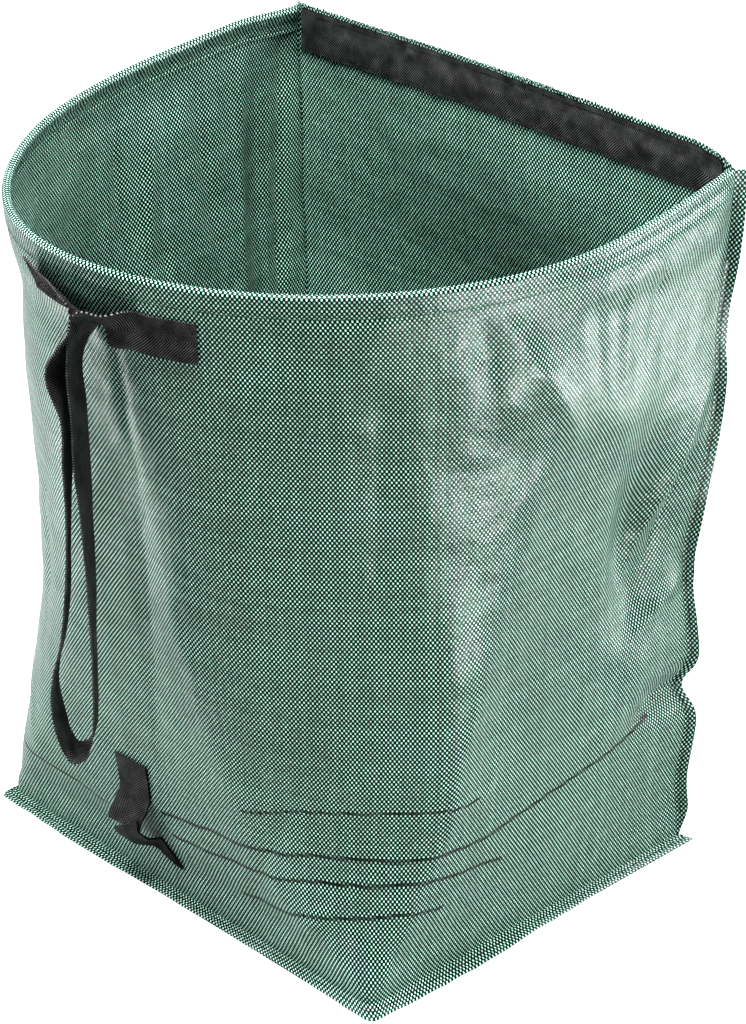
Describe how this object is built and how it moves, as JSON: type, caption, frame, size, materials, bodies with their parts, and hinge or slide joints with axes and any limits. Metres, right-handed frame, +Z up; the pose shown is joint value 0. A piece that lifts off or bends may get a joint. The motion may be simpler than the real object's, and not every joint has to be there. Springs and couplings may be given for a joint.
{
  "type": "garden waste bag",
  "caption": "Standing woven garden waste bag with a D-shaped sprung mouth, a rectangular base, a webbing band on its straight edge, a hanging carry strap and a low grab strap.",
  "frame": {"origin": "middle of the base panel's underside, on the floor", "axes": "+X to the right along the straight rear edge seen from the front, +Y to the straight back, +Z up"},
  "size_m": [0.5361, 0.5284, 0.6433],
  "materials": {
    "woven_cloth": "satin",
    "webbing": "matte",
    "black_thread": "matte",
    "green_thread": "matte",
    "hoop_wire": "satin",
    "hoop_cap": "matte"
  },
  "bodies": {
    "bag": {"base_panel": "woven_cloth", "wrap_panel": "woven_cloth", "back_panel": "woven_cloth", "rim_hem": "woven_cloth", "rim_hoop": "hoop_wire", "hoop_cap_left": "hoop_cap", "hoop_cap_right": "hoop_cap", "edge_band": "webbing", "edge_band_stitch_upper": "black_thread", "edge_band_stitch_lower": "black_thread", "hem_stitch": "green_thread", "corner_stitch_left": "black_thread", "corner_stitch_right": "black_thread", "base_stitch_wrap": "black_thread", "base_stitch_back": "black_thread", "carry_strap_end_left": "webbing", "carry_strap_end_right": "webbing", "carry_strap_box_stitch_left": "black_thread", "carry_strap_box_stitch_right": "black_thread", "grab_strap_end_upper": "webbing", "grab_strap_end_lower": "webbing"},
    "carry_loop": {"carry_strap_loop": "webbing"},
    "grab_loop": {"grab_strap_loop": "webbing"}
  },
  "joints": [
    {"name": "carry_strap_swing", "type": "hinge", "parent": "bag", "child": "carry_loop", "pos_m": [0.00794, -0.30225, 0.5615], "axis": [-0.7193, 0.6947, 0], "range_deg": [0, 165]},
    {"name": "grab_strap_swing", "type": "hinge", "parent": "bag", "child": "grab_loop", "pos_m": [-0.0405, -0.2035, 0.084], "axis": [0.347, 0.015, -0.9377], "range_deg": [-18, 18]}
  ]
}
